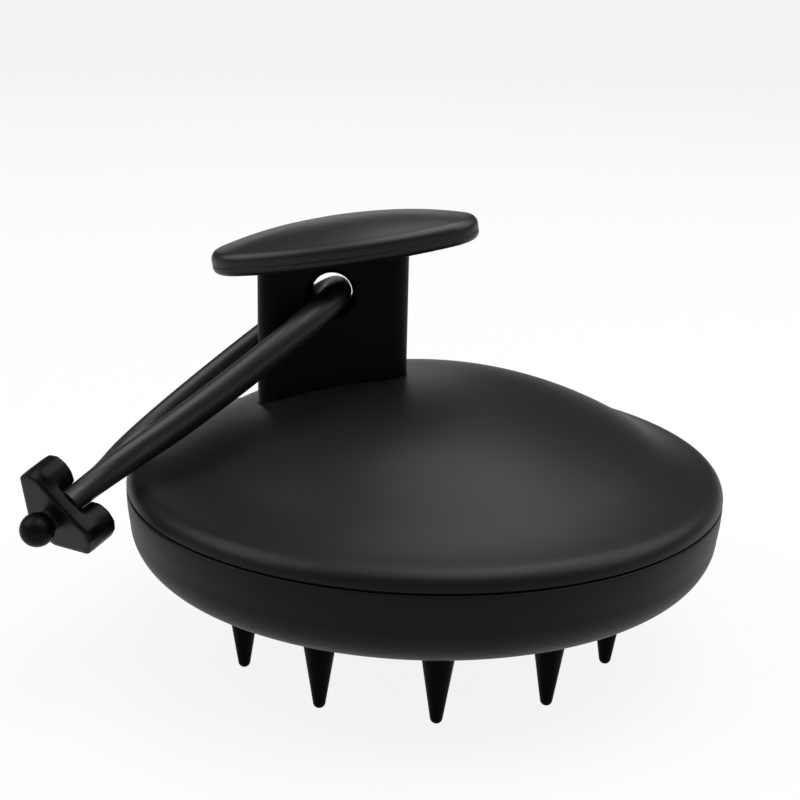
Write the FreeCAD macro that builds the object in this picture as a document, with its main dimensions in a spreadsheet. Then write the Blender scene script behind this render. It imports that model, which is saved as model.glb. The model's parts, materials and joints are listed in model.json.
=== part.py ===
import FreeCAD, Part
import math
import os

import Sketcher
from FreeCAD import Placement, Rotation, Vector

# Scalp massager brush. Millimetres, +Z up. The origin is on the axis of the round body, at the
# height of the outer bristles' tips, which the brush stands on.

doc = FreeCAD.newDocument("scalp_brush")
sheet = doc.addObject("Spreadsheet::Sheet", "Sizes")

DRIVING_SIZES = [
    # round body: a domed cover on a bowl-shaped shell
    ("body_radius", 45.0),
    ("wall", 2.2),
    ("dome_top_z", 42.0),
    ("dome_sphere", 67.0),
    ("dome_edge_x", 36.0),
    ("flare_radius", 16.0),
    ("flare_end_x", 40.73),
    ("flare_end_z", 29.47),
    ("rim_lean", 14.0),
    ("rim_round", 2.8),
    ("seam_z", 26.2),
    ("seam_gap", 0.3),
    ("shell_corner", 6.6),
    ("shell_wall_foot_x", 44.6),
    ("shell_wall_foot_z", 21.0),
    ("floor_flat_x", 31.0),
    ("floor_z", 13.8),
    ("seal_leg", 0.8),
    ("seal_play", 0.12),
    # soft bristles
    ("outer_ring", 29.9),
    ("outer_count", 11.0),
    ("outer_first_angle", -85.9),
    ("inner_ring", 16.0),
    ("inner_count", 6.0),
    ("inner_tip_z", 3.75),
    ("middle_tip_z", 5.0),
    ("bristle_neck", 2.9),
    ("bristle_tip", 0.9),
    ("bristle_flange", 3.9),
    ("flange_thick", 1.2),
    ("bristle_hole", 2.93),
    # plate over the flanges, and its screws
    ("disc_radius", 34.5),
    ("disc_thick", 1.6),
    ("disc_screw_shank", 1.2),
    ("disc_screw_head", 2.2),
    ("disc_screw_head_tall", 1.5),
    ("disc_screw_long", 3.8),
    ("disc_stub_radius", 2.6),
    # screws and bosses that hold the shell to the cover
    ("boss_ring", 21.0),
    ("boss_radius", 3.2),
    ("boss_meet_z", 22.0),
    ("boss_top_z", 36.6),
    ("body_screw_shank", 1.4),
    ("body_screw_head", 2.4),
    ("body_screw_head_tall", 1.8),
    ("body_screw_seat_z", 20.0),
    ("body_screw_long", 12.0),
    ("body_screw_recess", 2.7),
    # post of the handle, its hole for the strap and its screws
    ("post_x", -14.3),
    ("post_long", 22.35),
    ("post_thick", 6.0),
    ("hole_z", 54.7),
    ("hole_half_wide", 2.95),
    ("hole_half_tall", 2.85),
    ("hole_rounding", 1.2),
    ("post_screw_spread", 6.0),
    ("post_screw_shank", 1.5),
    ("post_screw_head", 2.6),
    ("post_screw_head_tall", 1.6),
    ("post_screw_seat_z", 35.0),
    ("post_screw_long", 14.0),
    ("post_screw_pad", 3.4),
    # oval knob plate, in two pieces
    ("knob_x", -12.35),
    ("knob_z", 59.86),
    ("knob_tilt", 9.27),
    ("knob_half_long", 19.75),
    ("knob_half_wide", 10.0),
    ("knob_end_radius", 6.8),
    ("knob_base_tall", 1.3),
    ("knob_rim_top", 3.5),
    ("knob_crown", 5.85),
    ("knob_rounding", 1.0),
    ("knob_dome_share", 0.7),
    ("knob_screw_shank", 1.2),
    ("knob_screw_head", 2.2),
    ("knob_screw_head_tall", 0.9),
    ("knob_screw_long", 6.0),
    ("knob_head_room", 0.3),
    # strap with its block and ball
    ("strap_thick", 3.7),
    ("block_x", -52.4),
    ("block_y", -20.95),
    ("block_z", 25.4),
    ("block_azimuth", 51.5),
    ("block_elevation", 20.6),
    ("block_roll", 140.0),
    ("block_thick", 4.9),
    ("block_corner", 1.3),
    ("block_back_rounding", 1.2),
    ("block_front_rounding", 0.4),
    ("block_saddle_height", 4.9),
    ("block_saddle_front", 14.0),
    ("block_saddle_back", 15.0),
    ("block_notch_floor", 2.0),
    ("block_notch_half", 1.9),
    ("block_hole", 1.9),
    ("ball_radius", 2.45),
    ("ball_out", 2.5),
    ("strand_gap", 3.7),
    ("strap_hole_shift", 0.7),
    ("strap_hole_drop", 0.4),
    ("strap_beside_post", 6.4),
    ("strap_into_ball", 0.6),
]

DERIVED_SIZES = [
    ("dome_centre_z", "=dome_top_z - dome_sphere"),
    ("dome_edge_z", "=dome_centre_z + sqrt(dome_sphere ^ 2 - dome_edge_x ^ 2)"),
    ("rim_centre_x", "=body_radius - rim_round"),
    ("shell_top_z", "=seam_z - seam_gap"),
    ("inner_wall_x", "=body_radius - wall"),
    ("inner_floor_z", "=floor_z + wall"),
    ("disc_z", "=inner_floor_z + flange_thick"),
    ("disc_top_z", "=disc_z + disc_thick"),
    ("cap_tall", "=knob_crown - knob_base_tall"),
    ("knob_cap_room", "=knob_screw_head_tall + knob_head_room"),
]


def fill_sheet():
    for row, (alias, content) in enumerate(DRIVING_SIZES + DERIVED_SIZES, start=1):
        sheet.set(f"A{row}", alias)
        sheet.set(f"B{row}", str(content))
        sheet.setAlias(f"B{row}", alias)
    doc.recompute()


def size(alias):
    return float(sheet.get(alias))


def bind(thing, prop, words):
    """Binds a property to the sheet: 'wall' or a formula whose aliases are written Sizes.alias."""
    thing.setExpression(prop, words if "Sizes." in words else "Sizes." + words)


fill_sheet()

WALL = size("wall")
DOME_CENTRE_Z = size("dome_centre_z")
FLOOR_Z = size("floor_z")
INNER_FLOOR_Z = size("inner_floor_z")
POST_X = size("post_x")


UPRIGHT_AXIS = -2  # a sketch's own vertical axis, as its constraints name it


# ---------------------------------------------------------------- helpers

def new_body(name):
    body = doc.addObject("PartDesign::Body", name)
    body.Label = name
    return body


def origin_plane(body, role):
    return next(f for f in body.Origin.OriginFeatures if f.Role == role)


def new_sketch(body, name, role="XY_Plane", offset=None):
    sketch = body.newObject("Sketcher::SketchObject", name)
    sketch.AttachmentSupport = [(origin_plane(body, role), "")]
    sketch.MapMode = "FlatFace"
    if offset is not None:
        sketch.AttachmentOffset = offset
    return sketch


def number(coordinate):
    return size(coordinate) if isinstance(coordinate, str) else float(coordinate)


def pin_point(sketch, edge, end, axis, coordinate):
    """Fixes one coordinate of a sketch point, bound to the sheet where it is an alias."""
    value = number(coordinate)
    if axis == "X" and value == 0:
        sketch.addConstraint(Sketcher.Constraint("PointOnObject", edge, end, UPRIGHT_AXIS))
        return
    if not isinstance(coordinate, str) or value <= 0:
        return
    row = sketch.addConstraint(Sketcher.Constraint("Distance" + axis, -1, 1, edge, end, value))
    bind(sketch, f"Constraints[{row}]", coordinate)


def outline(sketch, points, arcs=None):
    """Closed outline. points are (x, y); arcs gives a point on the arc that starts at that index."""
    arcs = arcs or {}
    flat = [Vector(number(x), number(y), 0) for x, y in points]
    count = len(flat)
    anticlockwise = []
    for i, start in enumerate(flat):
        end = flat[(i + 1) % count]
        if i in arcs:
            middle = Vector(*arcs[i], 0)
            sketch.addGeometry(Part.Arc(start, middle, end), False)
            anticlockwise.append((middle - start).cross(end - middle).z > 0)
        else:
            sketch.addGeometry(Part.LineSegment(start, end), False)
            anticlockwise.append(True)
    for i in range(count):
        after = (i + 1) % count
        end = 2 if anticlockwise[i] else 1
        start = 1 if anticlockwise[after] else 2
        sketch.addConstraint(Sketcher.Constraint("Coincident", i, end, after, start))
    for i, (x, y) in enumerate(points):
        start = 1 if anticlockwise[i] else 2
        pin_point(sketch, i, start, "X", x)
        pin_point(sketch, i, start, "Y", y)


def circle(sketch, radius, x=0.0, y=0.0):
    centre = Vector(x, y, 0)
    edge = sketch.addGeometry(Part.Circle(centre, Vector(0, 0, 1), number(radius)), False)
    row = sketch.addConstraint(Sketcher.Constraint("Radius", edge, number(radius)))
    if isinstance(radius, str):
        bind(sketch, f"Constraints[{row}]", radius)
    sketch.addConstraint(Sketcher.Constraint("Block", edge))


def revolve(body, sketch, name, cut=False):
    kind = "PartDesign::Groove" if cut else "PartDesign::Revolution"
    turned = body.newObject(kind, name)
    turned.Profile = sketch
    turned.ReferenceAxis = (sketch, ["V_Axis"])
    turned.Angle = 360.0
    sketch.Visibility = False
    return turned


def pad(body, sketch, name, length, symmetric=False):
    grown = body.newObject("PartDesign::Pad", name)
    grown.Profile = sketch
    if isinstance(length, str):
        bind(grown, "Length", length)
    else:
        grown.Length = length
    grown.Midplane = symmetric
    return grown


def cut_checked(body, sketch, name, length=None, reverse=False):
    """Pocket to a depth, or right through both ways; stops if it removes nothing."""
    doc.recompute()
    before = body.Shape.Volume
    pocket = body.newObject("PartDesign::Pocket", name)
    pocket.Profile = sketch
    if length is None:
        pocket.Type = "ThroughAll"
        pocket.Midplane = True
    else:
        pocket.Type = "Length"
        pocket.Reversed = reverse
        if isinstance(length, str):
            bind(pocket, "Length", length)
        else:
            pocket.Length = length
    doc.recompute()
    if body.Shape.Volume > before - 0.01:
        raise RuntimeError(f"{name} cuts nothing")
    return pocket


def at_height(z, x=0.0, y=0.0):
    return Placement(Vector(x, y, z), Rotation())


def ring_places(count, radius, first_angle):
    step = 360.0 / count
    turns = [math.radians(first_angle + step * i) for i in range(int(count))]
    return [(radius * math.cos(a), radius * math.sin(a)) for a in turns]


def sphere_height(x, radius):
    """Height of a sphere round the dome's centre, at a distance x from the axis."""
    return DOME_CENTRE_Z + math.sqrt(radius ** 2 - x ** 2)


BODY_SCREW_PLACES = ring_places(3, size("boss_ring"), 30.0)
DISC_SCREW_PLACES = ring_places(3, size("boss_ring"), 90.0)
POST_SCREW_PLACES = [(POST_X + side * size("post_screw_spread"), 0.0) for side in (-1, 1)]
KNOB_FRAME = Placement(Vector(size("knob_x"), 0, size("knob_z")),
                       Rotation(Vector(0, 1, 0), -size("knob_tilt")))
KNOB_SCREW_X = [POST_X - size("knob_x") + side * size("post_screw_spread") for side in (-1, 1)]


# ---------------------------------------------------------------- round body

def make_upper_cover():
    body = new_body("upper_cover")
    shell = new_sketch(body, "cover_profile", "XZ_Plane")
    inner_sphere = size("dome_sphere") - WALL
    inner_edge_x = size("dome_edge_x")
    inner_lip_z = size("flare_end_z") - WALL
    rim_centre = (size("rim_centre_x"), size("seam_z"))
    rim_diagonal = size("rim_round") * math.sqrt(0.5)
    rim_lean = math.radians(size("rim_lean"))
    rim_start = (rim_centre[0] + size("rim_round") * math.sin(rim_lean),
                 rim_centre[1] + size("rim_round") * math.cos(rim_lean))
    flare_reach = 1 + size("flare_radius") / size("dome_sphere")
    flare_centre = (size("dome_edge_x") * flare_reach,
                    DOME_CENTRE_Z + (size("dome_edge_z") - DOME_CENTRE_Z) * flare_reach)
    flare_turn = math.radians(23)
    flare_middle = (flare_centre[0] - size("flare_radius") * math.sin(flare_turn),
                    flare_centre[1] - size("flare_radius") * math.cos(flare_turn))
    outline(shell, [
        (0, "dome_top_z"),
        ("dome_edge_x", "dome_edge_z"),
        ("flare_end_x", "flare_end_z"),
        rim_start,
        ("body_radius", "seam_z"),
        ("inner_wall_x", "seam_z"),
        ("inner_wall_x", inner_lip_z - 0.1),
        (size("inner_wall_x") - 2.8, inner_lip_z),
        (inner_edge_x, sphere_height(inner_edge_x, inner_sphere)),
        (0, size("dome_top_z") - WALL),
    ], {
        0: (20.0, sphere_height(20.0, size("dome_sphere"))),
        1: flare_middle,
        3: (rim_centre[0] + rim_diagonal, rim_centre[1] + rim_diagonal),
        8: (20.0, sphere_height(20.0, inner_sphere)),
    })
    revolve(body, shell, "cover_shell")

    for i, (x, y) in enumerate(BODY_SCREW_PLACES):
        sketch = new_sketch(body, f"boss_sketch_{i}", offset=at_height(size("boss_meet_z")))
        circle(sketch, "boss_radius", x, y)
        pad(body, sketch, f"boss_{i}", "Sizes.boss_top_z - Sizes.boss_meet_z")
    for i, (x, y) in enumerate(POST_SCREW_PLACES):
        sketch = new_sketch(body, f"pad_sketch_{i}", offset=at_height(size("post_screw_seat_z")))
        circle(sketch, "post_screw_pad", x, y)
        top = sphere_height(abs(x) + size("post_screw_pad"), size("dome_sphere")) - 0.4
        pad(body, sketch, f"screw_pad_{i}", top - size("post_screw_seat_z"))

    pilots = new_sketch(body, "boss_pilots", offset=at_height(size("boss_meet_z")))
    for x, y in BODY_SCREW_PLACES:
        circle(pilots, "body_screw_shank", x, y)
    cut_checked(body, pilots, "boss_holes", size("body_screw_long"), reverse=True)
    passages = new_sketch(body, "post_screw_passages")
    for x, y in POST_SCREW_PLACES:
        circle(passages, "post_screw_shank", x, y)
    cut_checked(body, passages, "post_screw_holes")
    return body


def make_lower_shell():
    body = new_body("lower_shell")
    bowl = new_sketch(body, "bowl_profile", "XZ_Plane")
    corner = size("shell_corner")
    corner_x = size("shell_wall_foot_x") - corner
    foot_z = size("shell_wall_foot_z")
    turn = math.radians(45)
    flat_turn = math.radians(6)
    corner_end = (corner_x - corner * math.sin(flat_turn), foot_z - corner * math.cos(flat_turn))
    inner_corner = corner - WALL
    outline(bowl, [
        (0, "floor_z"),
        ("floor_flat_x", "floor_z"),
        corner_end,
        ("shell_wall_foot_x", "shell_wall_foot_z"),
        ("body_radius", "shell_top_z"),
        ("inner_wall_x", "shell_top_z"),
        (corner_x + inner_corner, foot_z),
        (corner_x - 0.6, "inner_floor_z"),
        (0, "inner_floor_z"),
    ], {
        2: (corner_x + corner * math.sin(turn), foot_z - corner * math.cos(turn)),
        3: (size("body_radius") - 0.05, 23.1),
        6: (corner_x + inner_corner * math.sin(turn) - 0.2,
            foot_z - inner_corner * math.cos(turn) - 0.25),
    })
    revolve(body, bowl, "bowl_shell")

    tubes = new_sketch(body, "tube_sketch", offset=at_height(INNER_FLOOR_Z - 1.0))
    circle(tubes, "boss_radius", *BODY_SCREW_PLACES[0])
    tube = pad(body, tubes, "screw_tube", "Sizes.boss_meet_z - Sizes.inner_floor_z + 1")
    repeat_round(body, [tube], "screw_tubes", 3)
    stubs = new_sketch(body, "stub_sketch", offset=at_height(INNER_FLOOR_Z - 1.0))
    circle(stubs, "disc_stub_radius", *DISC_SCREW_PLACES[0])
    stub = pad(body, stubs, "disc_stub", "Sizes.flange_thick + 1")
    repeat_round(body, [stub], "disc_stubs", 3)

    recess = new_sketch(body, "recess_sketch", offset=at_height(FLOOR_Z - 1.0))
    for x, y in BODY_SCREW_PLACES:
        circle(recess, "body_screw_recess", x, y)
    cut_checked(body, recess, "screw_recess", size("body_screw_seat_z") - FLOOR_Z + 1.0, reverse=True)
    passage = new_sketch(body, "passage_sketch", offset=at_height(size("body_screw_seat_z")))
    for x, y in BODY_SCREW_PLACES:
        circle(passage, size("body_screw_shank") + 0.1, x, y)
    cut_checked(body, passage, "screw_passage", 4.0, reverse=True)
    pilots = new_sketch(body, "stub_pilots", offset=at_height(size("disc_z")))
    for x, y in DISC_SCREW_PLACES:
        circle(pilots, "disc_screw_shank", x, y)
    cut_checked(body, pilots, "stub_holes", size("disc_screw_long") - size("disc_thick"))

    holes = new_sketch(body, "bristle_hole_sketch")
    outer = ring_places(size("outer_count"), size("outer_ring"), size("outer_first_angle"))
    circle(holes, "bristle_hole", *outer[0])
    first_outer = cut_checked(body, holes, "bristle_hole_outer")
    repeat_round(body, [first_outer], "bristle_holes_outer", int(size("outer_count")))
    inner_holes = new_sketch(body, "inner_hole_sketch")
    circle(inner_holes, "bristle_hole", size("inner_ring"), 0.0)
    first_inner = cut_checked(body, inner_holes, "bristle_hole_inner")
    repeat_round(body, [first_inner], "bristle_holes_inner", int(size("inner_count")))
    middle = new_sketch(body, "middle_hole_sketch")
    circle(middle, "bristle_hole")
    cut_checked(body, middle, "bristle_hole_middle")
    return body


def repeat_round(body, features, name, count):
    doc.recompute()
    pattern = body.newObject("PartDesign::PolarPattern", name)
    pattern.Originals = features
    pattern.Axis = (next(f for f in body.Origin.OriginFeatures if f.Role == "Z_Axis"), [""])
    pattern.Angle = 360.0
    pattern.Occurrences = count
    body.Tip = pattern
    doc.recompute()
    return pattern


def make_seam_seal():
    """Soft ring: a thin lip in the seam and a leg inside it."""
    body = new_body("seam_seal")
    profile = new_sketch(body, "seal_profile", "XZ_Plane")
    lip_x = size("body_radius") - 0.5
    wall_x = size("inner_wall_x") - size("seal_play")
    leg_x = wall_x - size("seal_leg")
    top = size("flare_end_z") - WALL - 0.2
    bottom = size("shell_top_z") - 1.4
    outline(profile, [
        (leg_x, bottom), (wall_x, bottom), (wall_x, "shell_top_z"), (lip_x, "shell_top_z"),
        (lip_x, "seam_z"), (wall_x, "seam_z"), (wall_x, top), (leg_x, top),
    ])
    revolve(body, profile, "seal_ring")
    return body


# ---------------------------------------------------------------- bristles and their plate

def make_bristle(name, x, y, tip_z):
    """A soft cone with a rounded tip, a neck through the floor and a flange on it."""
    body = new_body(name)
    profile = new_sketch(body, name + "_profile", "XZ_Plane")
    neck = size("bristle_neck")
    tip = size("bristle_tip")
    flange_top = INNER_FLOOR_Z + size("flange_thick")
    slope = (neck - tip) / (FLOOR_Z - tip_z - tip)
    lean = math.atan(slope)
    side = (tip * math.cos(lean), tip_z + tip - tip * math.sin(lean))
    half = 0.5 * (math.pi / 2 - lean)
    outline(profile, [
        (0, tip_z), side, (neck, FLOOR_Z), (neck, INNER_FLOOR_Z),
        (size("bristle_flange"), INNER_FLOOR_Z), (size("bristle_flange"), flange_top),
        (0, flange_top),
    ], {
        0: (tip * math.sin(half), tip_z + tip - tip * math.cos(half)),
    })
    revolve(body, profile, name + "_turned")
    body.Placement = Placement(Vector(x, y, 0), Rotation())
    return body


def make_bristles():
    outer = ring_places(size("outer_count"), size("outer_ring"), size("outer_first_angle"))
    for i, (x, y) in enumerate(outer, start=1):
        make_bristle(f"bristle_outer_{i:02d}", x, y, 0.0)
    inner = ring_places(size("inner_count"), size("inner_ring"), 0.0)
    for i, (x, y) in enumerate(inner, start=1):
        make_bristle(f"bristle_inner_{i:02d}", x, y, size("inner_tip_z"))
    make_bristle("bristle_centre", 0.0, 0.0, size("middle_tip_z"))


def make_retaining_disc():
    body = new_body("retaining_disc")
    round_plate = new_sketch(body, "disc_sketch", offset=at_height(size("disc_z")))
    circle(round_plate, "disc_radius")
    pad(body, round_plate, "disc_plate", "disc_thick")
    holes = new_sketch(body, "disc_holes", offset=at_height(size("disc_z")))
    for x, y in BODY_SCREW_PLACES:
        circle(holes, size("boss_radius") + 0.3, x, y)
    for x, y in DISC_SCREW_PLACES:
        circle(holes, size("disc_screw_shank") + 0.1, x, y)
    cut_checked(body, holes, "disc_openings")
    return body


def make_screws(name, frames, shank, head, head_tall, shank_long):
    """Screws as one compound: in its own frame each head sits below 0 and its shank goes up."""
    screws = []
    for i, frame in enumerate(frames):
        shank_part = doc.addObject("Part::Cylinder", f"{name}_shank_{i}")
        bind(shank_part, "Radius", shank)
        bind(shank_part, "Height", shank_long)
        head_part = doc.addObject("Part::Cylinder", f"{name}_head_{i}")
        bind(head_part, "Radius", head)
        bind(head_part, "Height", head_tall)
        head_part.Placement = at_height(-size(head_tall))
        screw = doc.addObject("Part::Fuse", f"{name}_screw_{i}")
        screw.Base = head_part
        screw.Tool = shank_part
        screw.Placement = frame
        screws.append(screw)
    group = doc.addObject("Part::Compound", name)
    group.Links = screws
    group.Label = name
    return group


def make_all_screws():
    upside_down = Rotation(Vector(1, 0, 0), 180)
    make_screws("body_screws",
                [Placement(Vector(x, y, size("body_screw_seat_z")), Rotation())
                 for x, y in BODY_SCREW_PLACES],
                "body_screw_shank", "body_screw_head", "body_screw_head_tall", "body_screw_long")
    make_screws("retaining_screws",
                [Placement(Vector(x, y, size("disc_top_z")), upside_down)
                 for x, y in DISC_SCREW_PLACES],
                "disc_screw_shank", "disc_screw_head", "disc_screw_head_tall", "disc_screw_long")
    make_screws("handle_screws",
                [Placement(Vector(x, y, size("post_screw_seat_z")), Rotation())
                 for x, y in POST_SCREW_PLACES],
                "post_screw_shank", "post_screw_head", "post_screw_head_tall", "post_screw_long")
    seat = size("knob_base_tall")
    make_screws("knob_screws",
                [KNOB_FRAME * Placement(Vector(x, 0, seat), upside_down) for x in KNOB_SCREW_X],
                "knob_screw_shank", "knob_screw_head", "knob_screw_head_tall", "knob_screw_long")


# ---------------------------------------------------------------- handle

def rounded_bar(sketch, centre_x, length, thick):
    """Bar with half-round ends, along X."""
    half_straight = length / 2 - thick / 2
    left, right, half = centre_x - half_straight, centre_x + half_straight, thick / 2
    outline(sketch, [(left, -half), (right, -half), (right, half), (left, half)],
            {1: (right + half, 0), 3: (left - half, 0)})


def make_handle_post():
    body = new_body("handle_post")
    bar = new_sketch(body, "post_sketch", offset=at_height(30.0))
    rounded_bar(bar, POST_X, size("post_long"), size("post_thick"))
    pad(body, bar, "post_bar", 40.0)

    dome = new_sketch(body, "post_foot_profile", "XZ_Plane")
    outline(dome, [(0, 25.0), (40.0, 25.0), (38.8, sphere_height(38.8, size("dome_sphere"))),
                   (0, "dome_top_z")],
            {2: (20.0, sphere_height(20.0, size("dome_sphere")))})
    revolve(body, dome, "post_foot", cut=True)

    top = new_sketch(body, "post_top_sketch", offset=KNOB_FRAME)
    outline(top, [(-25, -10), (25, -10), (25, 10), (-25, 10)])
    cut_checked(body, top, "post_top", 20.0, reverse=True)
    knob_pilots = new_sketch(body, "knob_pilot_sketch", offset=KNOB_FRAME)
    for x in KNOB_SCREW_X:
        circle(knob_pilots, "knob_screw_shank", x, 0.0)
    cut_checked(body, knob_pilots, "knob_pilots", size("knob_screw_long") - size("knob_base_tall"))

    pilots = new_sketch(body, "post_pilot_sketch", offset=at_height(30.0))
    for x, y in POST_SCREW_PLACES:
        circle(pilots, "post_screw_shank", x, y)
    screw_end = size("post_screw_seat_z") + size("post_screw_long")
    cut_checked(body, pilots, "post_pilots", screw_end - 30.0, reverse=True)

    strap_hole = new_sketch(body, "strap_hole_sketch", "XZ_Plane")
    oval = Part.Ellipse(Vector(POST_X, size("hole_z"), 0), size("hole_half_wide"),
                        size("hole_half_tall"))
    strap_hole.addGeometry(oval, False)
    cut_checked(body, strap_hole, "strap_hole")
    round_off(body, "strap_hole_rounding", "hole_rounding", is_strap_hole_edge)
    return body


def is_strap_hole_edge(edge):
    box = edge.BoundBox
    near_hole = abs(box.Center.z - size("hole_z")) < 0.5 and abs(box.Center.x - POST_X) < 0.5
    return near_hole and box.YLength < 0.1 and box.XLength < 2.2 * size("hole_half_wide")


def round_off(body, name, radius, wanted):
    doc.recompute()
    names = [f"Edge{i}" for i, edge in enumerate(body.Shape.Edges, start=1) if wanted(edge)]
    if not names:
        raise RuntimeError(f"{name} finds no edge")
    rounding = body.newObject("PartDesign::Fillet", name)
    rounding.Base = (body.Tip if body.Tip != rounding else rounding.BaseFeature, names)
    bind(rounding, "Radius", radius)
    doc.recompute()
    return rounding


def knob_oval(sketch):
    """Oval of four arcs: two small ones at the ends and two large ones along the sides."""
    long, wide, end = size("knob_half_long"), size("knob_half_wide"), size("knob_end_radius")
    side = ((long - end) ** 2 + wide ** 2 - end ** 2) / (2 * (wide - end))
    turn = math.atan2(side - wide, long - end)
    x = long - end + end * math.cos(turn)
    y = end * math.sin(turn)
    outline(sketch, [(x, -y), (x, y), (-x, y), (-x, -y)],
            {0: (long, 0), 1: (0, wide), 2: (-long, 0), 3: (0, -wide)})


def make_knob_base():
    body = new_body("knob_base")
    oval = new_sketch(body, "base_oval")
    knob_oval(oval)
    pad(body, oval, "base_plate", "knob_base_tall")
    round_off(body, "base_rounding", "knob_rounding", lambda edge: edge.BoundBox.ZMax < 0.01)
    holes = new_sketch(body, "base_holes")
    for x in KNOB_SCREW_X:
        circle(holes, size("knob_screw_shank") + 0.1, x, 0.0)
    cut_checked(body, holes, "base_screw_holes")
    body.Placement = KNOB_FRAME
    return body


def make_knob_cap():
    """Oval prism under a flattened ellipsoid, hollowed over the screw heads."""
    share = size("knob_dome_share")
    rim_share = math.sqrt(1 - share ** 2)
    dome_half_tall = (size("knob_crown") - size("knob_rim_top")) / (1 - rim_share)
    dome = doc.addObject("Part::Ellipsoid", "cap_dome")
    dome.Radius1 = dome_half_tall
    bind(dome, "Radius2", "Sizes.knob_half_long / Sizes.knob_dome_share")
    bind(dome, "Radius3", "Sizes.knob_half_wide / Sizes.knob_dome_share")
    dome.Placement = at_height(size("knob_crown") - dome_half_tall)
    oval = doc.addObject("Sketcher::SketchObject", "cap_oval")
    oval.Placement = at_height(size("knob_base_tall"))
    knob_oval(oval)
    prism = doc.addObject("Part::Extrusion", "cap_prism")
    prism.Base = oval
    prism.Dir = Vector(0, 0, 1)
    bind(prism, "LengthFwd", "cap_tall")
    prism.Solid = True
    solid_cap = doc.addObject("Part::Common", "cap_solid")
    solid_cap.Base = prism
    solid_cap.Tool = dome
    cap = solid_cap
    for i, x in enumerate(KNOB_SCREW_X):
        room = doc.addObject("Part::Cylinder", f"cap_room_{i}")
        room.Radius = size("knob_screw_head") + 0.3
        bind(room, "Height", "knob_cap_room")
        room.Placement = at_height(size("knob_base_tall"), x)
        hollowed = doc.addObject("Part::Cut", f"cap_hollowed_{i}")
        hollowed.Base = cap
        hollowed.Tool = room
        cap = hollowed
    cap.Label = "knob_cap"
    cap.Placement = KNOB_FRAME
    return cap


# ---------------------------------------------------------------- strap, block and ball

BLOCK_PLACE = Placement(
    Vector(size("block_x"), size("block_y"), size("block_z")),
    Rotation(Vector(0, 0, 1), size("block_azimuth"))
    * Rotation(Vector(0, 1, 0), 90 - size("block_elevation"))
    * Rotation(Vector(0, 0, 1), size("block_roll")))


def make_toggle_block():
    """Two-winged block with a saddle. Its own Z runs along the strands, away from the ball."""
    body = new_body("toggle_block")
    face = new_sketch(body, "block_outline")
    outline(face, [(7.1, 1.6), (5.5, 5.3), (-5.5, 5.3), (-7.1, 1.6), (-2.8, -5.1), (2.8, -5.1)],
            {4: (0, -6.1)})
    pad(body, face, "block_pad", "block_thick")
    thick = size("block_thick")
    round_off(body, "block_corners", "block_corner",
              lambda edge: edge.BoundBox.ZLength > thick / 2)
    round_off(body, "block_back_edge", "block_back_rounding",
              lambda edge: edge.BoundBox.ZMin > thick - 0.01)
    round_off(body, "block_front_edge", "block_front_rounding",
              lambda edge: edge.BoundBox.ZMax < 0.01)

    saddle = body.newObject("PartDesign::SubtractiveCone", "block_saddle")
    bind(saddle, "Radius1", "block_saddle_front")
    bind(saddle, "Radius2", "block_saddle_back")
    bind(saddle, "Height", "block_thick")
    saddle_y = size("block_saddle_height") + size("block_saddle_front")
    saddle.AttachmentOffset = at_height(0, 0, saddle_y)
    saddle.AttachmentSupport = [(origin_plane(body, "XY_Plane"), "")]
    saddle.MapMode = "FlatFace"
    notch = new_sketch(body, "notch_sketch", offset=at_height(size("block_notch_floor")))
    half = size("block_notch_half")
    outline(notch, [(-half, 0), (half, 0), (half, 8), (-half, 8)], {0: (0, -half)})
    cut_checked(body, notch, "strand_notch", 5.0, reverse=True)
    hole = new_sketch(body, "block_hole_sketch")
    circle(hole, "block_hole")
    cut_checked(body, hole, "block_through_hole")
    dish = new_sketch(body, "dish_profile", "XZ_Plane")
    radius = size("ball_radius") + 0.05
    low = -size("ball_out")
    outline(dish, [(0, low - radius), (0, low + radius)], {0: (radius, low)})
    revolve(body, dish, "ball_dish", cut=True)
    body.Placement = BLOCK_PLACE
    return body


def block_point(across, up, along):
    return BLOCK_PLACE.multVec(Vector(across, up, along))


def strap_route():
    """Centre line of the strap, from the block over the rim, through the post and back to the ball."""
    in_hole_x = POST_X + size("strap_hole_shift")
    in_hole_z = size("hole_z") - size("strap_hole_drop")
    beside_post = size("strap_beside_post")
    return [
        block_point(0, size("strand_gap"), size("block_notch_floor")),
        block_point(0, size("strand_gap"), 10.0),
        Vector(-32.2, -14.8, 40.0),
        Vector(in_hole_x, -beside_post, in_hole_z),
        Vector(in_hole_x, beside_post, in_hole_z),
        Vector(-24.75, 6.1, 46.5),
        Vector(-44.5, -1.6, 30.8),
        block_point(0, 0, 9.0),
        block_point(0, 0, -size("strap_into_ball")),
    ]


def rounded_path(route):
    """Straight runs joined by tangent arcs, each as large as its two runs allow."""
    edges = []
    start = route[0]
    length = 0.0
    for before, corner, after in zip(route, route[1:], route[2:]):
        back = (before - corner).normalize()
        on = (after - corner).normalize()
        half_turn = (math.pi - back.getAngle(on)) / 2
        run = min((before - corner).Length, (after - corner).Length)
        set_back = 0.45 * run
        radius = set_back / math.tan(half_turn)
        enter = corner + back * set_back
        leave = corner + on * set_back
        bisector = (back + on).normalize()
        middle = corner + bisector * (radius / math.cos(half_turn) - radius)
        edges.append(Part.LineSegment(start, enter).toShape())
        edges.append(Part.Arc(enter, middle, leave).toShape())
        length += (enter - start).Length + 2 * half_turn * radius
        print(f"strap bend radius {radius:.1f} mm, turn {math.degrees(2 * half_turn):.0f} degrees")
        start = leave
    edges.append(Part.LineSegment(start, route[-1]).toShape())
    length += (route[-1] - start).Length
    return Part.Wire(edges), length


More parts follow.
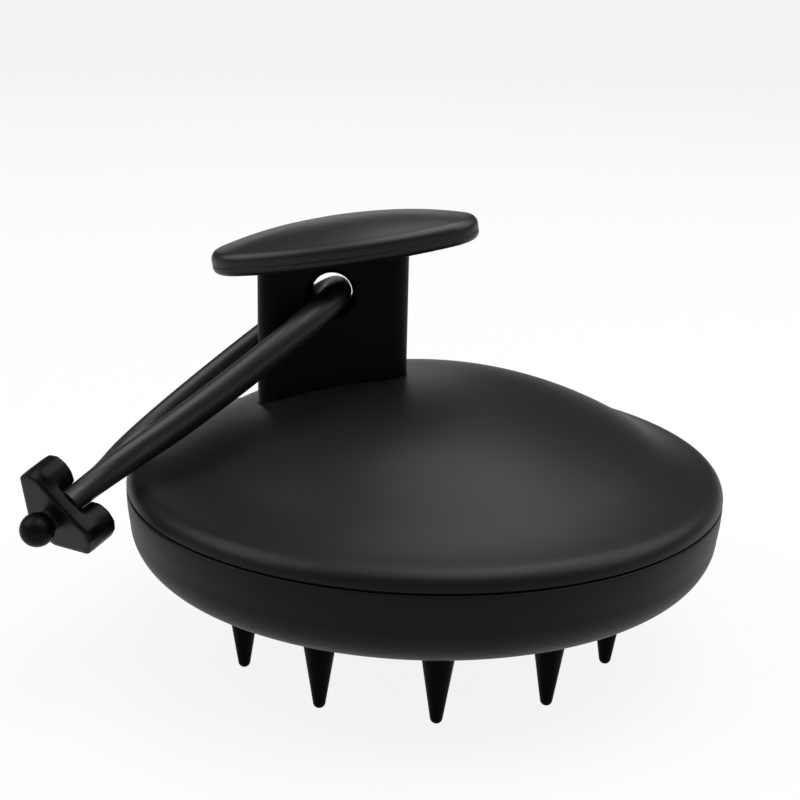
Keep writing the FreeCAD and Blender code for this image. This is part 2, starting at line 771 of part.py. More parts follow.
def make_strap():
    route = strap_route()
    path, length = rounded_path(route)
    radius = size("strap_thick") / 2
    section = Part.Wire(Part.makeCircle(radius, route[0], route[1] - route[0]))
    tube = path.makePipeShell([section], True, True)
    expected = math.pi * radius ** 2 * length
    print(f"strap {length:.1f} mm long, volume {tube.Volume:.1f} of {expected:.1f}")
    if abs(tube.Volume / expected - 1) > 0.01:
        raise RuntimeError("the strap's tube is not its section times its length")
    strap = doc.addObject("Part::Feature", "strap_cord")
    strap.Label = "strap_cord"
    strap.Shape = tube
    return strap


def make_toggle_ball():
    """Ball on the strap's end, with a flat where the strap goes into it."""
    ball = doc.addObject("Part::Sphere", "ball_sphere")
    bind(ball, "Radius", "ball_radius")
    ball.Placement = at_height(-size("ball_out"))
    room = doc.addObject("Part::Cylinder", "ball_room")
    bind(room, "Radius", "Sizes.strap_thick / 2")
    room.Height = 5.0
    room.Placement = at_height(-size("strap_into_ball"))
    cut = doc.addObject("Part::Cut", "toggle_ball")
    cut.Base = ball
    cut.Tool = room
    cut.Label = "toggle_ball"
    cut.Placement = BLOCK_PLACE
    return cut


# ---------------------------------------------------------------- build, check, write

def check_and_write():
    doc.recompute()
    for thing in doc.Objects:
        if "Invalid" in thing.State or "Error" in thing.State:
            raise RuntimeError(f"{thing.Name} did not build: {thing.State}")
    os.makedirs("parts", exist_ok=True)
    used = {child.Name for thing in doc.Objects if thing.TypeId.startswith("Part::")
            for child in thing.OutList}
    for thing in doc.Objects:
        is_body = thing.TypeId == "PartDesign::Body"
        is_plain = thing.TypeId.startswith("Part::") and thing.Name not in used
        if not (is_body or is_plain):
            continue
        shape = thing.Shape
        if shape.isNull() or not shape.isValid():
            raise RuntimeError(f"{thing.Label} has no valid shape")
        shape.exportStep(f"parts/{thing.Label}.step")
        box = shape.BoundBox
        print(f"{thing.Label}: {len(shape.Solids)} solid(s), {shape.Volume:.0f} mm3, "
              f"z {box.ZMin:.2f} to {box.ZMax:.2f}")


make_upper_cover()
make_lower_shell()
make_seam_seal()
make_bristles()
make_retaining_disc()
make_handle_post()
make_knob_base()
make_knob_cap()
make_all_screws()
make_toggle_block()
make_toggle_ball()
make_strap()
check_and_write()
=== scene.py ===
import json
import math

import bpy
from mathutils import Matrix, Vector


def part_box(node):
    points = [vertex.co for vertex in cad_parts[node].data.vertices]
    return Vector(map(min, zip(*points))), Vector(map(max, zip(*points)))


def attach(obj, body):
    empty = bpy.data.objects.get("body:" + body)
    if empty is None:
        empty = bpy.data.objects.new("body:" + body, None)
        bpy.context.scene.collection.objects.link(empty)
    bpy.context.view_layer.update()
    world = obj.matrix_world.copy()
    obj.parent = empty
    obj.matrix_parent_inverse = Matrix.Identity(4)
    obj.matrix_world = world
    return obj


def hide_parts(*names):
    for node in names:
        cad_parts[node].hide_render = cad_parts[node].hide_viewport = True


# Scalp massager brush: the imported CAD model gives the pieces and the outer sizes, and this script
# gives the looks. Lengths are in millimetres and become metres through MM, apart from the floor's
# and the lights', which are in metres. Angles are in degrees.

MM = 0.001

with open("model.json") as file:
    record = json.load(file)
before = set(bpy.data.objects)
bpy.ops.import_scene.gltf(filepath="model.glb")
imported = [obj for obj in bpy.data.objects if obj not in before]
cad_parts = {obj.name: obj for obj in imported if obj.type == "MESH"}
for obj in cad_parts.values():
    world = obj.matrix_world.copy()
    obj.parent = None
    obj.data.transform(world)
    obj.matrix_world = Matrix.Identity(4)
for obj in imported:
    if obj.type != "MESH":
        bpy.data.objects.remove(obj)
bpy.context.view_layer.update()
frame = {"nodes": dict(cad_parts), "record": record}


# ---------------------------------------------------------------- sizes

def span(node):
    """Lowest and highest corner of a CAD node, in millimetres."""
    low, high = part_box(node)
    return low / MM, high / MM


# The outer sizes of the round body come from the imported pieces.
COVER_HIGH = span("upper_cover")[1]
SHELL_LOW, SHELL_HIGH = span("lower_shell")
BODY_RADIUS = COVER_HIGH.x
DOME_TOP = COVER_HIGH.z
SHELL_TOP = SHELL_HIGH.z
FLOOR_Z = SHELL_LOW.z

# The sizes below follow the CAD. Edges are rounded a little differently here, and the flare
# between dome and rim starts further in and bends more gently.
SEAM_GAP = 0.3
SEAM_Z = SHELL_TOP + SEAM_GAP
SEAM_EDGE_ROUND = 0.25
WALL = 2.2

DOME_SPHERE = 67.0
DOME_EDGE_X = 34.7
FLARE_RADIUS = 29.2
RIM_ROUND = 2.8
RIM_LEAN = 14.0
RIM_LAST_TURN = 6.0
SHELL_CORNER = 6.6
SHELL_FOOT = Vector((44.6, 21.0))
FLOOR_FLAT_X = 31.0
BODY_STEPS = 288

BRISTLE_NECK = 2.9
BRISTLE_TIP = 0.9
BRISTLE_FOOT_ROUND = 0.4
BRISTLE_FOOT_SPREAD = 0.35
BRISTLE_STEPS = 48

POST_X = -14.3
POST_LONG = 22.35
POST_THICK = 6.0
HOLE_Z = 54.7
FOOT_BEAD_RADIUS = 0.12
FOOT_BEAD_GROWTH = 0.06

KNOB_CENTRE = Vector((-12.35, 0.0, 59.86))
KNOB_TILT = 9.27
KNOB_HALF_LONG = 19.75
KNOB_HALF_WIDE = 10.0
KNOB_END_RADIUS = 6.8
KNOB_PARTING = 1.3
KNOB_RIM_TOP = 3.5
KNOB_CROWN = 5.85
KNOB_BASE_ROUND = 1.0
KNOB_TOP_ROUND = 1.4
KNOB_TOP_ROUND_TURN = 72.0
KNOB_PARTING_ROUND = 0.1
KNOB_PARTING_HALF_GAP = 0.01
KNOB_CROWN_FULLNESS = 2.2
KNOB_STEPS = 192

STRAP_THICK = 3.7
STRAND_GAP = 3.7
STRAP_HOLE_SHIFT = 0.7
STRAP_HOLE_DROP = 0.4
STRAP_BESIDE_POST = 6.4
BLOCK_CENTRE = Vector((-52.4, -20.95, 25.4))
BLOCK_AZIMUTH = 51.5
BLOCK_ELEVATION = 20.6
BLOCK_ROLL = 140.0
NOTCH_FLOOR = 2.0
BALL_RADIUS = 2.45
BALL_OUT = 2.5
BALL_RINGS = 24
BALL_STEPS = 48
STRAP_INTO_BALL = 0.6


# ---------------------------------------------------------------- materials

def shader(name, color, roughness, specular):
    material = bpy.data.materials.new(name)
    material.use_nodes = True
    surface = material.node_tree.nodes["Principled BSDF"]
    surface.inputs["Base Color"].default_value = (*color, 1.0)
    surface.inputs["Roughness"].default_value = roughness
    surface.inputs["Specular IOR Level"].default_value = specular
    return material


def link(material, source, output, target, entry):
    nodes = material.node_tree.nodes
    material.node_tree.links.new(nodes[source].outputs[output], nodes[target].inputs[entry])


def add_node(material, kind, name, **settings):
    node = material.node_tree.nodes.new(kind)
    node.name = name
    for key, value in settings.items():
        node.inputs[key].default_value = value


def add_grain(material, grain_mm, depth_mm, strength):
    """Fine moulded grain on the surface."""
    add_node(material, "ShaderNodeTexCoord", "place")
    add_node(material, "ShaderNodeTexNoise", "grain",
             **{"Scale": 1.0 / (grain_mm * MM), "Detail": 3.0, "Roughness": 0.6})
    add_node(material, "ShaderNodeBump", "relief", Strength=strength, Distance=depth_mm * MM)
    link(material, "place", "Object", "grain", "Vector")
    link(material, "grain", "Fac", "relief", "Height")
    link(material, "relief", "Normal", "Principled BSDF", "Normal")


def add_uneven_sheen(material, roughness, drift, patch_mm):
    """Roughness that drifts a little from place to place, as on a handled surface."""
    add_node(material, "ShaderNodeTexNoise", "patches",
             **{"Scale": 1.0 / (patch_mm * MM), "Detail": 4.0, "Roughness": 0.55})
    add_node(material, "ShaderNodeMapRange", "sheen",
             **{"To Min": roughness - drift, "To Max": roughness + drift})
    link(material, "place", "Object", "patches", "Vector")
    link(material, "patches", "Fac", "sheen", "Value")
    link(material, "sheen", "Result", "Principled BSDF", "Roughness")


def soft_touch(name, color, roughness, specular):
    material = shader(name, color, roughness, specular)
    add_grain(material, grain_mm=0.25, depth_mm=0.02, strength=0.25)
    add_uneven_sheen(material, roughness, drift=0.03, patch_mm=14.0)
    return material


def silicone(name, color, roughness, specular):
    material = shader(name, color, roughness, specular)
    add_grain(material, grain_mm=0.5, depth_mm=0.02, strength=0.15)
    add_uneven_sheen(material, roughness, drift=0.04, patch_mm=5.0)
    return material


def steel(name, color, roughness, specular):
    material = shader(name, color, roughness, specular)
    material.node_tree.nodes["Principled BSDF"].inputs["Metallic"].default_value = 1.0
    add_grain(material, grain_mm=0.3, depth_mm=0.01, strength=0.3)
    return material


# Each slot's kind of surface, base colour, roughness and specular level.
FINISHES = {
    "cover_plastic": (soft_touch, (0.0045, 0.0051, 0.0052), 0.42, 0.13),
    "shell_plastic": (soft_touch, (0.0038, 0.0042, 0.0040), 0.46, 0.10),
    # Painted shade: the post's plastic has a much darker base colour and lower specular level than
    # the cover's, so that its front faces look shaded.
    "post_plastic": (soft_touch, (0.0006, 0.0009, 0.0014), 0.42, 0.045),
    "knob_plastic": (soft_touch, (0.0018, 0.0021, 0.0020), 0.42, 0.27),
    "inner_plastic": (soft_touch, (0.05, 0.05, 0.05), 0.55, 0.4),
    # The bristles are black silicone. Their base colour and specular level are set darker still as
    # painted shade under the body, against the light of the glowing floor.
    "bristle_silicone": (silicone, (0.0008, 0.0008, 0.0008), 0.45, 0.02),
    "strap_rubber": (silicone, (0.0045, 0.0052, 0.0050), 0.42, 0.34),
    "toggle_rubber": (silicone, (0.0012, 0.0016, 0.0016), 0.40, 0.07),
    "seal_rubber": (silicone, (0.003, 0.003, 0.003), 0.6, 0.2),
    "screw_steel": (steel, (0.55, 0.55, 0.56), 0.3, 0.5),
}

MATERIALS = {slot: finish(slot, *look) for slot, (finish, *look) in FINISHES.items()}

SLOT_OF_NODE = {row["node"]: row["material_slot"] for row in frame["record"]["subparts"]}


# ---------------------------------------------------------------- mesh helpers

def make_piece(name, verts, faces, stands_for, body="brush", sharp=35.0):
    """Smooth-shaded mesh from millimetre points, standing for the CAD nodes named."""
    mesh = bpy.data.meshes.new(name)
    mesh.from_pydata([Vector(v) * MM for v in verts], [], faces)
    mesh.validate()
    mesh.shade_smooth()
    mesh.set_sharp_from_angle(angle=math.radians(sharp))
    piece = bpy.data.objects.new(name, mesh)
    bpy.context.collection.objects.link(piece)
    finish_piece(piece, stands_for, body)
    return piece


def finish_piece(piece, stands_for, body):
    """Material, slot and body of a piece, and the CAD nodes that it replaces."""
    slot = SLOT_OF_NODE[stands_for[0]]
    piece.data.materials.clear()
    piece.data.materials.append(MATERIALS[slot])
    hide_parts(*stands_for)
    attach(piece, body)


def arc(centre, radius, first, last, steps):
    """Points on an arc in a lathe outline; angles in degrees, 0 outwards and 90 up."""
    turns = [math.radians(first + (last - first) * i / steps) for i in range(steps + 1)]
    return [(centre[0] + radius * math.cos(a), centre[1] + radius * math.sin(a)) for a in turns]


ON_AXIS = 1e-6


def lathe(outline, steps, centre=(0.0, 0.0)):
    """Turns (radius, height) points round an upright axis; points on the axis stay single."""
    verts, rows = [], []
    for radius, height in outline:
        if radius < ON_AXIS:
            rows.append([len(verts)])
            verts.append((centre[0], centre[1], height))
            continue
        rows.append(list(range(len(verts), len(verts) + steps)))
        for k in range(steps):
            a = 2 * math.pi * k / steps
            x = centre[0] + radius * math.cos(a)
            y = centre[1] + radius * math.sin(a)
            verts.append((x, y, height))
    return verts, bridge_rows(rows)


def bridge_rows(rows):
    """Faces between neighbouring rows of points; a row of one point closes a middle."""
    faces = []
    for lower, upper in zip(rows, rows[1:]):
        count = max(len(lower), len(upper))
        for k in range(count):
            n = (k + 1) % count
            if len(lower) == 1 and len(upper) > 1:
                faces.append((lower[0], upper[n], upper[k]))
            elif len(upper) == 1 and len(lower) > 1:
                faces.append((lower[k], lower[n], upper[0]))
            elif len(upper) > 1:
                faces.append((lower[k], lower[n], upper[n], upper[k]))
    return faces


def oval_ring(half_long, half_wide, end_radius, height, steps):
    """Points round an oval of four arcs, spread evenly along it."""
    end_x = half_long - end_radius
    side = (end_x ** 2 + half_wide ** 2 - end_radius ** 2) / (2 * (half_wide - end_radius))
    turn = math.atan2(side - half_wide, end_x)
    end_length = end_radius * turn
    quarter_length = end_length + side * (math.pi / 2 - turn)
    ring = []
    for k in range(steps):
        quadrant, share = divmod(4 * k / steps, 1)
        along = (share if quadrant % 2 == 0 else 1 - share) * quarter_length
        if along < end_length:
            a = along / end_radius
            x = end_x + end_radius * math.cos(a)
            y = end_radius * math.sin(a)
        else:
            a = turn + (along - end_length) / side
            x = side * math.cos(a)
            y = half_wide - side + side * math.sin(a)
        mirror_x = 1 if quadrant in (0, 3) else -1
        mirror_y = 1 if quadrant < 2 else -1
        ring.append(Vector((mirror_x * x, mirror_y * y, height)))
    return ring


def knob_ring(inset, height):
    """The knob plate's outline, drawn in by inset."""
    return oval_ring(KNOB_HALF_LONG - inset, KNOB_HALF_WIDE - inset, KNOB_END_RADIUS - inset,
                     height, KNOB_STEPS)


# ---------------------------------------------------------------- round body

def make_cover():
    """Dome, flare, rounded rim and the lip over the seam, with a hollow inside."""
    dome_centre = (0.0, DOME_TOP - DOME_SPHERE)
    edge_angle = math.degrees(math.acos(DOME_EDGE_X / DOME_SPHERE))
    dome = arc(dome_centre, DOME_SPHERE, 90.0, edge_angle, 60)
    dome[0] = (0.0, DOME_TOP)
    edge = dome[-1]
    slope = 90.0 - edge_angle
    flare_centre = (edge[0] + FLARE_RADIUS * math.sin(math.radians(slope)),
                    edge[1] + FLARE_RADIUS * math.cos(math.radians(slope)))
    flare = arc(flare_centre, FLARE_RADIUS, 270.0 - slope, 270.0 - RIM_LEAN, 14)[1:]
    rim_centre = (BODY_RADIUS - RIM_ROUND, SEAM_Z)
    rim = arc(rim_centre, RIM_ROUND, 90.0 - RIM_LEAN, RIM_LAST_TURN, 24)
    lip_centre = (BODY_RADIUS - SEAM_EDGE_ROUND, SEAM_Z + SEAM_EDGE_ROUND)
    lip = arc(lip_centre, SEAM_EDGE_ROUND, 0.0, -90.0, 5)
    rebate_top = SEAM_Z + 0.35
    rebate = [(BODY_RADIUS - WALL, SEAM_Z), (BODY_RADIUS - WALL, rebate_top)]
    ceiling_start = edge_angle + 1.0
    ceiling = arc(dome_centre, DOME_SPHERE - WALL, ceiling_start, 90.0, 30)
    ceiling[-1] = (0.0, DOME_TOP - WALL)
    verts, faces = lathe(dome + flare + rim + lip + rebate + ceiling, BODY_STEPS)
    make_piece("cover_skin", verts, faces, ["upper_cover"])


def make_shell():
    """Bowl with a slightly curved wall and a flat floor; the outline runs inside, then outside."""
    corner = (SHELL_FOOT.x - SHELL_CORNER, SHELL_FOOT.y)
    bend_first, bend_last = -5.0, -84.0
    inner_floor = [(0.0, FLOOR_Z + WALL), (FLOOR_FLAT_X, FLOOR_Z + WALL)]
    inner_bend = arc(corner, SHELL_CORNER - WALL, bend_last, bend_first, 12)
    inner_wall_low = SHELL_TOP - 3.0
    inner_wall = [(BODY_RADIUS - WALL, inner_wall_low), (BODY_RADIUS - WALL, SHELL_TOP)]
    wall_top = SHELL_TOP - SEAM_EDGE_ROUND
    top_round = arc((BODY_RADIUS - SEAM_EDGE_ROUND, wall_top), SEAM_EDGE_ROUND, 90.0, 0.0, 5)
    wall_steps = 8
    wall = []
    for i in range(1, wall_steps + 1):
        share = i / wall_steps
        height = wall_top + (SHELL_FOOT.y - SHELL_TOP + SEAM_EDGE_ROUND) * share
        wall.append((BODY_RADIUS - (BODY_RADIUS - SHELL_FOOT.x) * share ** 2, height))
    bend = arc(corner, SHELL_CORNER, bend_first, bend_last, 24)
    floor_middle_x = 20.0
    floor = [(FLOOR_FLAT_X, FLOOR_Z), (floor_middle_x, FLOOR_Z), (0.0, FLOOR_Z)]
    outline = inner_floor + inner_bend + inner_wall + top_round + wall + bend + floor
    verts, faces = lathe(outline, BODY_STEPS)
    make_piece("shell_skin", verts, faces, ["lower_shell"])


# ---------------------------------------------------------------- bristles

def make_bristle(node):
    """Cone with a ball tip and a small fillet under the floor, and a neck through the floor."""
    low, high = span(node)
    centre = ((low.x + high.x) / 2, (low.y + high.y) / 2)
    cone_tall = FLOOR_Z - low.z - BRISTLE_TIP
    lean = math.degrees(math.atan((BRISTLE_NECK - BRISTLE_TIP) / cone_tall))
    tip = arc((0.0, low.z + BRISTLE_TIP), BRISTLE_TIP, -90.0, -lean, 10)
    tip[0] = (0.0, low.z)
    foot_centre = (BRISTLE_NECK + BRISTLE_FOOT_SPREAD, FLOOR_Z - BRISTLE_FOOT_ROUND)
    foot = arc(foot_centre, BRISTLE_FOOT_ROUND, 180.0 - lean, 90.0, 6)
    inside_floor = FLOOR_Z + 1.0
    neck = [(BRISTLE_NECK, inside_floor), (BRISTLE_NECK, high.z), (0.0, high.z)]
    verts, faces = lathe(tip + foot + neck, BRISTLE_STEPS, centre)
    make_piece(node + "_cone", verts, faces, [node])


# ---------------------------------------------------------------- handle

KNOB_FRAME = Matrix.Translation(KNOB_CENTRE) @ Matrix.Rotation(math.radians(-KNOB_TILT), 4, "Y")


def stack_rings(rings, low, high):
    """Closed skin over rings of points, with one middle point below and one above."""
    verts, rows = [Vector((0, 0, low))], [[0]]
    for ring in rings:
        rows.append(list(range(len(verts), len(verts) + len(ring))))
        verts.extend(ring)
    rows.append([len(verts)])
    verts.append(Vector((0, 0, high)))
    return [KNOB_FRAME @ v for v in verts], bridge_rows(rows)


def quarter(inset, height, radius, first, last, steps):
    """Rounded edge of a stacked oval as (inset, height), centred inset from the edge."""
    turns = [math.radians(first + (last - first) * i / steps) for i in range(steps + 1)]
    return [(inset - radius * math.cos(a), height + radius * math.sin(a)) for a in turns]


def knob_parting_edge(height, first, last):
    """Tiny rounded edge of a knob half at the parting line."""
    return quarter(KNOB_PARTING_ROUND, height, KNOB_PARTING_ROUND, first, last, 4)


def make_knob_base():
    base_top = KNOB_PARTING - KNOB_PARTING_HALF_GAP
    outline = (quarter(KNOB_BASE_ROUND, KNOB_BASE_ROUND, KNOB_BASE_ROUND, -90.0, 0.0, 8)
               + knob_parting_edge(base_top - KNOB_PARTING_ROUND, 0.0, 90.0))
    rings = [knob_ring(inset, height) for inset, height in outline]
    verts, faces = stack_rings(rings, 0.0, base_top)
    make_piece("knob_base_skin", verts, faces, ["knob_base"])


def make_knob_cap():
    """Upright side with a rounded top edge, and a crown of rings that shrink to the middle."""
    cap_bottom = KNOB_PARTING + KNOB_PARTING_HALF_GAP
    outline = (knob_parting_edge(cap_bottom + KNOB_PARTING_ROUND, -90.0, 0.0)
               + quarter(KNOB_TOP_ROUND, KNOB_RIM_TOP - KNOB_TOP_ROUND, KNOB_TOP_ROUND,
                         0.0, KNOB_TOP_ROUND_TURN, 12))
    rings = [knob_ring(inset, height) for inset, height in outline]
    edge_inset, edge_height = outline[-1]
    edge_ring = knob_ring(edge_inset, 0.0)
    crown_steps = 24
    for i in range(1, crown_steps):
        share = i / crown_steps
        shrink = 1 - share
        z = edge_height + (KNOB_CROWN - edge_height) * (1 - shrink ** KNOB_CROWN_FULLNESS)
        rings.append([Vector((v.x * shrink, v.y * shrink, z)) for v in edge_ring])
    verts, faces = stack_rings(rings, cap_bottom, KNOB_CROWN)
    make_piece("knob_cap_skin", verts, faces, ["knob_cap"])


def dome_height(x, y):
    """Height of the dome's surface over a point."""
    return DOME_TOP - DOME_SPHERE + math.sqrt(DOME_SPHERE ** 2 - x * x - y * y)


def stadium(centre_x, length, thick, steps):
    """Points round a bar with half-round ends that lies along X."""
    points = []
    half = thick / 2
    for side, start in ((1, -90.0), (-1, 90.0)):
        middle = centre_x + side * (length / 2 - half)
        for i in range(steps + 1):
            a = math.radians(start + 180.0 * i / steps)
            points.append((middle + half * math.cos(a), half * math.sin(a)))
    return points


def make_foot_bead():
    """Thin bead of the joint where the post stands on the cover."""
    curve = bpy.data.curves.new("post_foot_bead", "CURVE")
    curve.dimensions = "3D"
    curve.bevel_depth = FOOT_BEAD_RADIUS * MM
    curve.bevel_resolution = 3
    points = stadium(POST_X, POST_LONG + FOOT_BEAD_GROWTH, POST_THICK + FOOT_BEAD_GROWTH, 16)
    spline = curve.splines.new("POLY")
    spline.points.add(len(points) - 1)
    for target, (x, y) in zip(spline.points, points):
        target.co = (x * MM, y * MM, dome_height(x, y) * MM, 1.0)
    spline.use_cyclic_u = True
    bead = bpy.data.objects.new("post_foot_bead", curve)
    bpy.context.collection.objects.link(bead)
    curve.materials.append(MATERIALS["post_plastic"])
    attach(bead, "brush")


# ---------------------------------------------------------------- strap, block and ball

BLOCK_FRAME = (Matrix.Translation(BLOCK_CENTRE)
               @ Matrix.Rotation(math.radians(BLOCK_AZIMUTH), 4, "Z")
               @ Matrix.Rotation(math.radians(90 - BLOCK_ELEVATION), 4, "Y")
               @ Matrix.Rotation(math.radians(BLOCK_ROLL), 4, "Z"))


def block_point(across, up, along):
    """A point given in the block's own directions; along points from the ball to the strands."""
    return BLOCK_FRAME @ Vector((across, up, along))


def strap_route():
    """Control points of the strap's centre line, the same as in the CAD: out of the block's notch,
    up to the post, through its hole, and back through the block into the ball."""
    in_hole_x = POST_X + STRAP_HOLE_SHIFT
    in_hole_z = HOLE_Z - STRAP_HOLE_DROP
    return [
        block_point(0, STRAND_GAP, NOTCH_FLOOR),
        block_point(0, STRAND_GAP, 10.0),
        Vector((-32.2, -14.8, 40.0)),
        Vector((in_hole_x, -STRAP_BESIDE_POST, in_hole_z)),
        Vector((in_hole_x, STRAP_BESIDE_POST, in_hole_z)),
        Vector((-24.75, 6.1, 46.5)),
        Vector((-44.5, -1.6, 30.8)),
        block_point(0, 0, 9.0),
        block_point(0, 0, -STRAP_INTO_BALL),
    ]


# The rubber is stouter where it passes through the post and thinner towards the block.
STRAP_FULLNESS = [0.90, 1.08, 1.16, 1.12, 1.12, 1.05, 1.0, 0.95, 0.90]


def make_strap():
    route = strap_route()
    curve = bpy.data.curves.new("strap", "CURVE")
    curve.dimensions = "3D"
    curve.bevel_depth = STRAP_THICK / 2 * MM
    curve.bevel_resolution = 10
    curve.use_fill_caps = True
    curve.resolution_u = 24
    spline = curve.splines.new("NURBS")
    spline.points.add(len(route) - 1)
    for target, point, fullness in zip(spline.points, route, STRAP_FULLNESS):
        target.co = (*(point * MM), 1.0)
        target.radius = fullness
    spline.order_u = 3
    spline.use_endpoint_u = True
    strap = bpy.data.objects.new("strap", curve)
    bpy.context.collection.objects.link(strap)
    finish_piece(strap, ["strap_cord"], "strap")
    return strap, route


# The block's outline at the ball's side, and behind it where the strand lies between two wings.
# Both are drawn a little large, because the smoothing takes some off.
BLOCK_THICK = 4.9
BLOCK_END_GROWTH = 0.1
BLOCK_OVERLAP = 1.0
BLOCK_FRONT = [(7.3, 1.2), (6.5, 3.6), (5.2, 4.8), (2.0, 4.9), (-2.0, 5.1), (-5.0, 5.8),
               (-6.4, 4.6), (-7.3, 1.4), (-2.9, -5.3), (0.0, -6.3), (2.9, -5.3)]
BLOCK_BACK = [(7.3, 1.2), (7.0, 3.2), (6.1, 4.7), (4.5, 5.3), (2.9, 4.9), (1.8, 3.6), (1.8, 0.0),
              (1.2, -1.3), (-1.2, -1.3), (-1.8, 0.0), (-1.8, 3.6), (-2.9, 5.1), (-4.5, 5.6),
              (-6.1, 5.0), (-7.0, 3.4), (-7.3, 1.4), (-2.9, -5.3), (0.0, -6.3), (2.9, -5.3)]
BLOCK_VOXEL = 0.2
BLOCK_SMOOTHING = 34


def prism(outline, low, high, first):
    """Points and faces of an upright prism; first is the number of points already made."""
    count = len(outline)
    verts = [(x, y, z) for z in (low, high) for x, y in outline]
    faces = [tuple(range(first, first + count)), tuple(range(first + count, first + 2 * count))]
    for k in range(count):
        n = (k + 1) % count
        faces.append((first + k, first + n, first + n + count, first + k + count))
    return verts, faces


def make_block():
    """Soft moulded block: two prisms melted into one skin, with rounded edges."""
    front_verts, front_faces = prism(BLOCK_FRONT, -BLOCK_END_GROWTH, NOTCH_FLOOR, 0)
    back_verts, back_faces = prism(BLOCK_BACK, NOTCH_FLOOR - BLOCK_OVERLAP,
                                   BLOCK_THICK + BLOCK_END_GROWTH, len(front_verts))
    rough = bpy.data.meshes.new("block_rough")
    rough.from_pydata(front_verts + back_verts, [], front_faces + back_faces)
    holder = bpy.data.objects.new("block_rough", rough)
    bpy.context.collection.objects.link(holder)
    melt = holder.modifiers.new("melt", "REMESH")
    melt.mode = "VOXEL"
    melt.voxel_size = BLOCK_VOXEL
    rounding = holder.modifiers.new("rounding", "SMOOTH")
    rounding.factor = 0.5
    rounding.iterations = BLOCK_SMOOTHING
    graph = bpy.context.evaluated_depsgraph_get()
    skin = bpy.data.meshes.new_from_object(holder.evaluated_get(graph))
    verts = [BLOCK_FRAME @ v.co for v in skin.vertices]
    faces = [tuple(face.vertices) for face in skin.polygons]
    bpy.data.objects.remove(holder)
    bpy.data.meshes.remove(rough)
    bpy.data.meshes.remove(skin)
    return make_piece("block_skin", verts, faces, ["toggle_block"], body="strap", sharp=180.0)


def make_ball():
    turns = [math.pi * i / BALL_RINGS for i in range(BALL_RINGS + 1)]
    outline = [(BALL_RADIUS * math.sin(a), -BALL_RADIUS * math.cos(a)) for a in turns]
    outline[0] = (0.0, -BALL_RADIUS)
    outline[-1] = (0.0, BALL_RADIUS)
    verts, faces = lathe(outline, BALL_STEPS)
    placed = [BLOCK_FRAME @ (Vector(v) - Vector((0, 0, BALL_OUT))) for v in verts]
    return make_piece("ball_end", placed, faces, ["toggle_ball"], body="strap")


# ---------------------------------------------------------------- pieces kept from the CAD

CAD_NODES_SHOWN = ("seam_seal", "retaining_disc", "retaining_screws", "body_screws", "handle_post",
                   "handle_screws", "knob_screws")


def dress_cad_node(node):
    """Material, smooth shading and weighted normals on a CAD piece that is shown as it is."""
    piece = frame["nodes"][node]
    piece.data.materials.clear()
    piece.data.materials.append(MATERIALS[SLOT_OF_NODE[node]])
    piece.data.shade_smooth()
    piece.data.set_sharp_from_angle(angle=math.radians(32.0))
    level = piece.modifiers.new("level_normals", "WEIGHTED_NORMAL")
    level.keep_sharp = True


# ---------------------------------------------------------------- stage, light and camera

def make_floor():
    """Large white floor that gives off its own even light."""
    half = 40.0
    mesh = bpy.data.meshes.new("floor")
    mesh.from_pydata([(-half, -half, 0), (half, -half, 0), (half, half, 0), (-half, half, 0)],
                     [], [(0, 1, 2, 3)])
    floor = bpy.data.objects.new("floor", mesh)
    bpy.context.collection.objects.link(floor)
    material = shader("floor_white", (0.06, 0.06, 0.06), 0.9, 0.0)
    surface = material.node_tree.nodes["Principled BSDF"]
    surface.inputs["Emission Color"].default_value = (1.0, 1.0, 0.99, 1.0)
    surface.inputs["Emission Strength"].default_value = 0.885
    mesh.materials.append(material)


def make_world():
    world = bpy.data.worlds.new("studio")
    world.use_nodes = True
    sky = world.node_tree.nodes["Background"]
    sky.inputs["Color"].default_value = (1.0, 1.0, 1.0, 1.0)
    sky.inputs["Strength"].default_value = 0.12
    bpy.context.scene.world = world


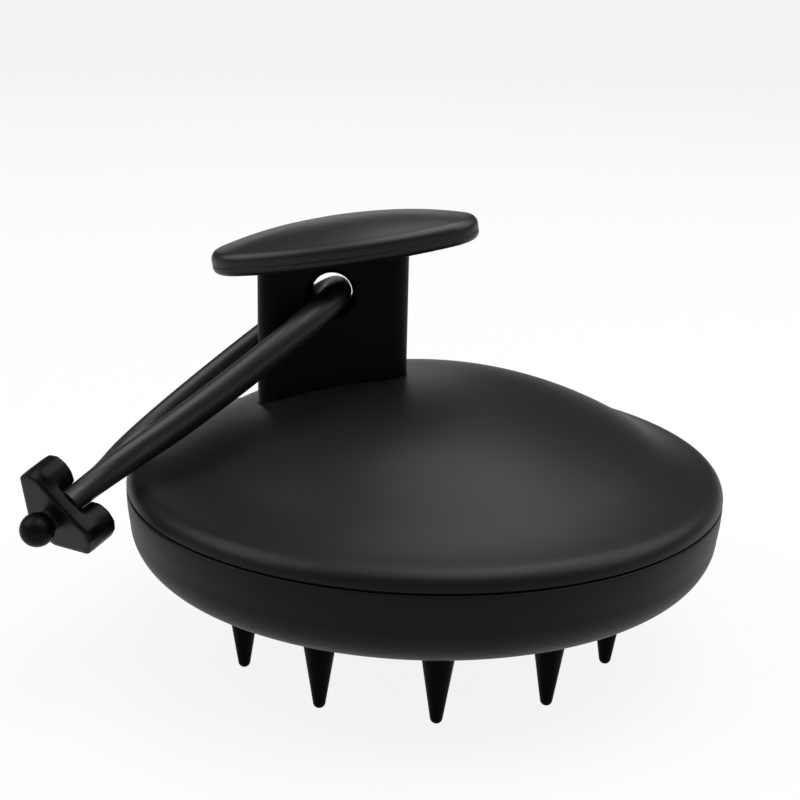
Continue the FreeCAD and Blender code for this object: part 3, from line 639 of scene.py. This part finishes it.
def area_light(name, place, target, width, height, power):
    data = bpy.data.lights.new(name, "AREA")
    data.shape = "RECTANGLE"
    data.size = width
    data.size_y = height
    data.energy = power
    lamp = bpy.data.objects.new(name, data)
    lamp.location = place
    lamp.rotation_euler = (Vector(target) - Vector(place)).to_track_quat("-Z", "Y").to_euler()
    bpy.context.collection.objects.link(lamp)


def make_lights():
    """Soft boxes that all point at the middle of the brush; places and sizes are in metres."""
    middle = (0.0, 0.0, 0.035)
    area_light("top_box", (0.10, 0.00, 0.75), middle, width=0.90, height=0.42, power=6.0)
    area_light("right_box", (0.52, 0.06, 0.62), middle, width=0.70, height=0.70, power=5.8)
    area_light("left_box", (-0.56, -0.08, 0.58), middle, width=0.60, height=0.60, power=4.8)
    area_light("back_box", (-0.16, 1.00, 0.36), middle, width=0.50, height=0.30, power=0.7)


CAMERA_PLACE = Vector((-3.54, -207.98, 99.54))
CAMERA_LOOK_DOWN = 16.4
CAMERA_ROLL = 1.38


def make_camera():
    """Camera in front of the brush that looks along Y, down a little, and leans a little."""
    look_down = math.radians(CAMERA_LOOK_DOWN)
    roll = math.radians(CAMERA_ROLL)
    forward = Vector((0, math.cos(look_down), -math.sin(look_down)))
    level = Vector((1, 0, 0))
    upright = Vector((0, math.sin(look_down), math.cos(look_down)))
    right = level * math.cos(roll) + upright * math.sin(roll)
    up = upright * math.cos(roll) - level * math.sin(roll)
    turn = Matrix((right, up, -forward)).transposed().to_4x4()
    data = bpy.data.cameras.new("camera")
    data.sensor_width = 36.0
    data.lens = 64.46
    data.shift_x = -0.00375
    data.shift_y = -0.0042
    data.clip_start = 0.01
    data.clip_end = 200.0
    camera = bpy.data.objects.new("camera", data)
    camera.matrix_world = Matrix.Translation(CAMERA_PLACE * MM) @ turn
    bpy.context.collection.objects.link(camera)
    bpy.context.scene.camera = camera


# ---------------------------------------------------------------- build

def build():
    make_cover()
    make_shell()
    for node in sorted(frame["nodes"]):
        if node.startswith("bristle"):
            make_bristle(node)
    make_knob_base()
    make_knob_cap()
    make_foot_bead()
    strap, route = make_strap()
    ball = make_ball()
    block = make_block()
    for node in CAD_NODES_SHOWN:
        dress_cad_node(node)
    make_floor()
    make_world()
    make_lights()
    make_camera()
    bpy.context.scene.view_settings.view_transform = "Standard"


build()
